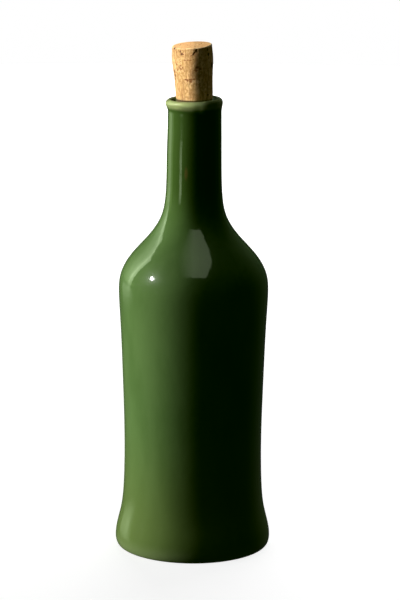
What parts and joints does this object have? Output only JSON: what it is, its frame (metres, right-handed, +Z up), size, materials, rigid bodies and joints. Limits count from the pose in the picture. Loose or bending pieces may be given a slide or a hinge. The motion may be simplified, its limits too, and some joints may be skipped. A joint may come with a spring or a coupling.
{
  "type": "corked stoneware oil bottle",
  "caption": "Tall green-glazed stoneware oil bottle with a flared foot, slim waist, round shoulders, long neck and rolled lip, closed by a tapered natural cork.",
  "frame": {"origin": "centre of the foot, on the surface that the bottle stands on", "axes": "+Z up along the bottle's axis, -Y towards the side shown at the front, +X to the right"},
  "size_m": [0.0926, 0.0926, 0.3024],
  "materials": {
    "glaze": "glossy deep green glaze over stoneware, paler where it thins on the lip",
    "cork": "matt natural cork with grain and small dark pits"
  },
  "bodies": {
    "root": {"bottle": "glaze", "cork": "cork"}
  },
  "joints": []
}
